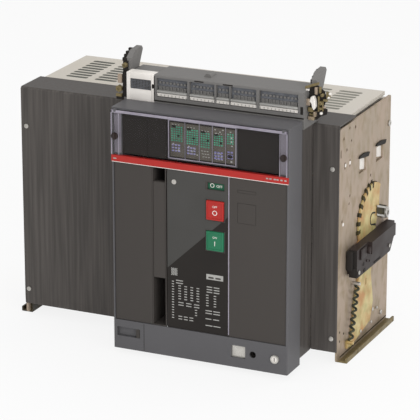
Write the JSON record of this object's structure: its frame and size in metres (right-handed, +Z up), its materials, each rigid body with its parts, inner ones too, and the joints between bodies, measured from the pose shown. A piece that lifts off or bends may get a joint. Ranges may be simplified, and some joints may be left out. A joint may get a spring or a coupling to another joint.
{
  "type": "air circuit breaker",
  "caption": "Withdrawable low-voltage air circuit breaker racked into a sheet-metal cradle, with front shield, charging lever, push buttons, arc chutes and rear terminals.",
  "frame": {"origin": "middle of the four floor-mounting holes, on the underside of the feet", "axes": "+X to the right along the front, +Y from the front to the terminals at the back, +Z up"},
  "size_m": [0.5886, 0.393, 0.476],
  "materials": {
    "zinc_steel": "satin, zinc-plated sheet steel",
    "yellow_zinc": "satin, yellow-passivated zinc on steel",
    "bright_steel": "machined and plated",
    "dark_paint": "fine texture powder coat",
    "grey_plastic": "fine moulded texture",
    "black_plastic": "moulded",
    "ivory_plastic": "glass-filled moulding",
    "white_plastic": "smooth moulding",
    "red_plastic": "smooth moulding",
    "green_plastic": "smooth moulding",
    "clear_plastic": "clear polycarbonate sheet",
    "copper_bars": "copper, silver plated at the joints",
    "coil_resin": "cast resin",
    "tin_strip": "tinned",
    "pointer_red": "smooth moulding"
  },
  "bodies": {
    "cradle": {"side_plate_left": "zinc_steel", "side_plate_right": "zinc_steel", "foot_rails": "zinc_steel", "base_pan": "zinc_steel", "rear_wall": "ivory_plastic", "cradle_terminals": "copper_bars", "jaw_clusters": "copper_bars", "rail_runners": "zinc_steel", "extension_rails": "zinc_steel", "contact_box": "black_plastic", "side_spring": "bright_steel", "cradle_fasteners": "bright_steel"},
    "breaker": {"arc_chute_1": "ivory_plastic", "arc_chute_2": "ivory_plastic", "arc_chute_3": "ivory_plastic", "arc_chute_4": "ivory_plastic", "blank_modules": "grey_plastic", "breaker_terminals_lower": "copper_bars", "breaker_terminals_upper": "copper_bars", "carriage_sides": "bright_steel", "charging_motor": "black_plastic", "closing_springs": "bright_steel", "current_transformers": "coil_resin", "end_brackets": "zinc_steel", "front_panels": "grey_plastic", "front_shield": "grey_plastic", "guide_tabs": "grey_plastic", "lever_housing": "grey_plastic", "mechanism_frame": "bright_steel", "mechanism_hood": "dark_paint", "nameplate_panel": "grey_plastic", "panel_screws": "bright_steel", "pole_housing": "black_plastic", "red_band": "red_plastic", "release_coils": "black_plastic", "side_cover_left": "dark_paint", "side_cover_right": "dark_paint", "splitter_plates": "bright_steel", "terminal_box": "grey_plastic", "terminal_box_lid": "grey_plastic", "terminal_strips": "tin_strip", "trip_unit": "grey_plastic", "white_terminal_module": "white_plastic"},
    "charging_lever": {"charging_lever": "grey_plastic"},
    "camshaft": {"camshaft": "bright_steel"},
    "open_button": {"open_button": "red_plastic"},
    "close_button": {"close_button": "green_plastic"},
    "state_flag": {"state_flag": "green_plastic"},
    "moving_contacts": {"moving_contacts": "copper_bars"},
    "pole_shaft": {"pole_shaft": "bright_steel"},
    "cover": {"transparent_cover": "clear_plastic"},
    "cover_knob_left": {"cover_knob_left": "black_plastic"},
    "cover_knob_right": {"cover_knob_right": "black_plastic"},
    "racking_shutter": {"racking_shutter": "bright_steel"},
    "lock_barrel": {"lock_barrel": "bright_steel"},
    "position_pointer": {"position_pointer": "pointer_red"},
    "racking_screw": {"racking_screw": "bright_steel"},
    "safety_shutter_upper": {"safety_shutter_upper": "ivory_plastic"},
    "safety_shutter_lower": {"safety_shutter_lower": "ivory_plastic"},
    "shutter_lever": {"shutter_lever": "yellow_zinc"}
  },
  "joints": [
    {"name": "racking", "type": "slide", "parent": "cradle", "child": "breaker", "axis": [0, -1, 0], "range_m": [0, 0.06]},
    {"name": "charging_lever_turn", "type": "hinge", "parent": "breaker", "child": "charging_lever", "pos_m": [0.015, -0.186, 0.152], "axis": [1, 0, 0], "range_deg": [0, 90], "stiffness_Nm_per_rad": 0.4, "springref_deg": -22.92},
    {"name": "camshaft_turn", "type": "hinge", "parent": "breaker", "child": "camshaft", "pos_m": [0.083, -0.1, 0.264], "axis": [1, 0, 0], "range_deg": [0, 45]},
    {"name": "open_button_push", "type": "slide", "parent": "breaker", "child": "open_button", "axis": [0, 1, 0], "range_m": [0, 0.004], "stiffness_N_per_m": 300, "springref_m": -0.003},
    {"name": "close_button_push", "type": "slide", "parent": "breaker", "child": "close_button", "axis": [0, 1, 0], "range_m": [0, 0.004], "stiffness_N_per_m": 300, "springref_m": -0.003},
    {"name": "contacts_close", "type": "hinge", "parent": "breaker", "child": "moving_contacts", "pos_m": [0, 0, 0.13], "axis": [-1, 0, 0], "range_deg": [0, 14]},
    {"name": "pole_shaft_turn", "type": "hinge", "parent": "breaker", "child": "pole_shaft", "pos_m": [0, -0.085, 0.2], "axis": [1, 0, 0], "range_deg": [0, 14]},
    {"name": "state_flag_shift", "type": "slide", "parent": "breaker", "child": "state_flag", "axis": [0, 0, -1], "range_m": [0, 0.011]},
    {"name": "cover_swing", "type": "hinge", "parent": "breaker", "child": "cover", "pos_m": [0.084, -0.2114, 0.4025], "axis": [-1, 0, 0], "range_deg": [0, 100]},
    {"name": "cover_knob_left_turn", "type": "hinge", "parent": "cover", "child": "cover_knob_left", "pos_m": [-0.0565, -0.212, 0.362], "axis": [0, 1, 0], "range_deg": [0, 90]},
    {"name": "cover_knob_right_turn", "type": "hinge", "parent": "cover", "child": "cover_knob_right", "pos_m": [0.226, -0.212, 0.362], "axis": [0, 1, 0], "range_deg": [0, 90]},
    {"name": "racking_shutter_shift", "type": "slide", "parent": "breaker", "child": "racking_shutter", "axis": [-1, 0, 0], "range_m": [0, 0.03]},
    {"name": "lock_turn", "type": "hinge", "parent": "breaker", "child": "lock_barrel", "pos_m": [0.212, -0.2, 0.034], "axis": [0, 1, 0], "range_deg": [0, 90]},
    {"name": "position_pointer_shift", "type": "slide", "parent": "breaker", "child": "position_pointer", "axis": [-1, 0, 0], "range_m": [0, 0.031]},
    {"name": "racking_screw_turn", "type": "hinge", "parent": "breaker", "child": "racking_screw", "pos_m": [0.1746, -0.07, 0.035], "axis": [0, 1, 0], "range_deg": [0, 4320]},
    {"name": "upper_shutter_drop", "type": "slide", "parent": "cradle", "child": "safety_shutter_upper", "axis": [0, 0, -1], "range_m": [0, 0.045]},
    {"name": "lower_shutter_rise", "type": "slide", "parent": "cradle", "child": "safety_shutter_lower", "axis": [0, 0, 1], "range_m": [0, 0.045]},
    {"name": "shutter_lever_turn", "type": "hinge", "parent": "cradle", "child": "shutter_lever", "pos_m": [0.277, 0.028, 0.2], "axis": [1, 0, 0], "range_deg": [0, 4.1], "deforming": ["side_spring"]}
  ],
  "couplings": [
    {"joint": "camshaft_turn", "follows": "charging_lever_turn", "ratio": 0.5},
    {"joint": "pole_shaft_turn", "follows": "contacts_close", "ratio": 1},
    {"joint": "state_flag_shift", "follows": "contacts_close", "m_per_rad": 0.045},
    {"joint": "position_pointer_shift", "follows": "racking", "ratio": 0.5},
    {"joint": "racking_screw_turn", "follows": "racking", "rad_per_m": 1256},
    {"joint": "upper_shutter_drop", "follows": "racking", "ratio": 0.75},
    {"joint": "lower_shutter_rise", "follows": "racking", "ratio": 0.75},
    {"joint": "shutter_lever_turn", "follows": "racking", "rad_per_m": 1.1636}
  ]
}
